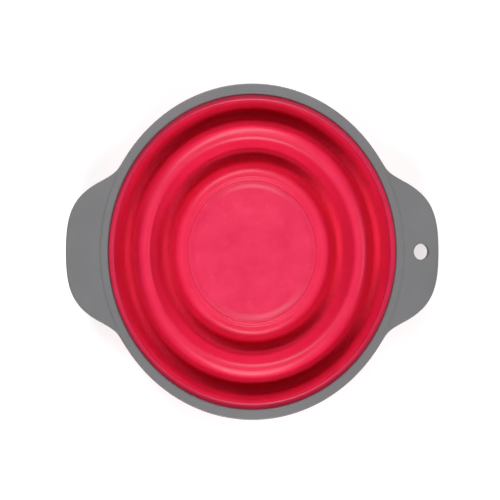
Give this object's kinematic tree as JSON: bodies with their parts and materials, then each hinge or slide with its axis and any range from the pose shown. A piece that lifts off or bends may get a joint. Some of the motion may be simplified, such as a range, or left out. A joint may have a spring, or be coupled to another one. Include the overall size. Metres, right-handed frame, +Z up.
{
  "type": "collapsible bowl",
  "caption": "Oval collapsible kitchen bowl, folded flat: soft ringed bowl hung in a stiff rim frame with two grip handles and a hanging hole.",
  "frame": {"origin": "centre of the oval, on the surface that the folded bowl stands on", "axes": "+X along the handles, towards the one with the hanging hole; +Y along the oval's long side; +Z up, out of the bowl's mouth"},
  "size_m": [0.2428, 0.219, 0.028],
  "materials": {
    "grey_plastic": "satin moulded grey plastic",
    "red_rubber": "satin red silicone rubber",
    "red_floor": "satin red, slightly mottled"
  },
  "bodies": {
    "base": {"base_collar": "red_rubber", "base_disc": "red_floor", "lower_fold": "red_rubber"},
    "ring": {"middle_ring": "red_rubber", "upper_fold": "red_rubber"},
    "rim": {"rim_frame": "grey_plastic", "rim_wall": "red_rubber"}
  },
  "joints": [
    {"name": "lower_fold_rise", "type": "slide", "parent": "base", "child": "ring", "axis": [0, 0, 1], "range_m": [0, 0.028], "deforming": ["lower_fold"]},
    {"name": "upper_fold_rise", "type": "slide", "parent": "ring", "child": "rim", "axis": [0, 0, 1], "range_m": [0, 0.044], "deforming": ["upper_fold"]}
  ]
}
